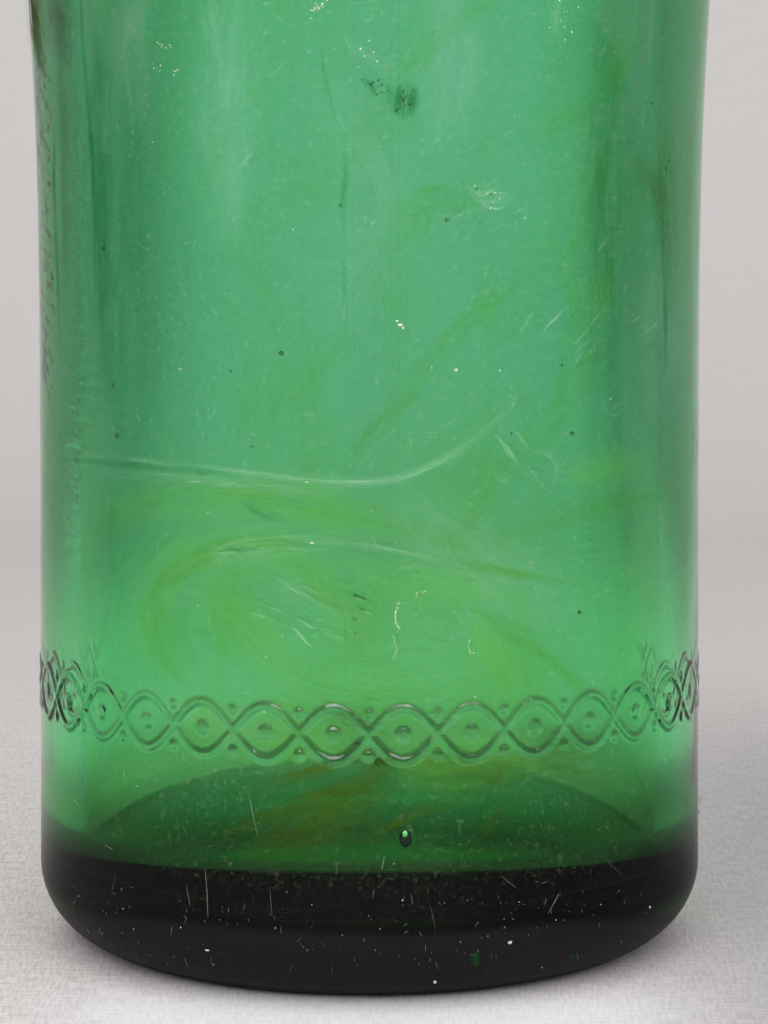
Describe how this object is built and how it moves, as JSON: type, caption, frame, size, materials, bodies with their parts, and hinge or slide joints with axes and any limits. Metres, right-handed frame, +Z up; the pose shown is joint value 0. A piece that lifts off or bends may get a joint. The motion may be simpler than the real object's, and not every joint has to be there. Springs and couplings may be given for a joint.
{
  "type": "soda siphon bottle",
  "caption": "Refillable green glass siphon bottle with a screwed metal head, a dip tube, a sprung valve, a down-turned spout and a thumb lever.",
  "frame": {"origin": "centre of the base, at the height of the foot ring that the bottle stands on", "axes": "+Z up along the bottle, -X towards the spout, +X towards the lever's handle"},
  "size_m": [0.1367, 0.1014, 0.3141],
  "materials": {
    "green_glass": "old blown glass, faintly scratched",
    "clear_glass": "drawn clear glass",
    "cast_metal": "aged casting, dull satin",
    "rubber": "matt black rubber",
    "brass": "dulled turned brass",
    "steel": "plain steel"
  },
  "bodies": {
    "bottle": {"glass_bottle": "green_glass", "mouth_gasket": "rubber", "collar_half_left": "cast_metal", "collar_half_right": "cast_metal", "head_body": "cast_metal", "dip_tube": "clear_glass", "tube_seal": "rubber", "tube_nut": "brass", "spring_seat": "brass", "valve_spring": "steel", "stem_packing": "rubber", "packing_washer": "brass", "gland_nut": "brass", "lever_pin": "steel", "spout_nozzle": "cast_metal", "nozzle_gasket": "rubber"},
    "lever": {"lever": "cast_metal"},
    "valve": {"valve_stem": "brass", "valve_holder": "brass", "valve_disc": "rubber", "valve_nut": "brass", "stem_cap": "brass"}
  },
  "joints": [
    {"name": "lever_press", "type": "hinge", "parent": "bottle", "child": "lever", "pos_m": [-0.0155, 0, 0.304], "axis": [0, 1, 0], "range_deg": [0, 11], "stiffness_Nm_per_rad": 0.45, "springref_deg": -17.19},
    {"name": "valve_slide", "type": "slide", "parent": "bottle", "child": "valve", "axis": [0, 0, -1], "range_m": [0, 0.003], "deforming": ["valve_spring"]}
  ],
  "couplings": [
    {"joint": "valve_slide", "follows": "lever_press", "m_per_rad": 0.0155}
  ]
}
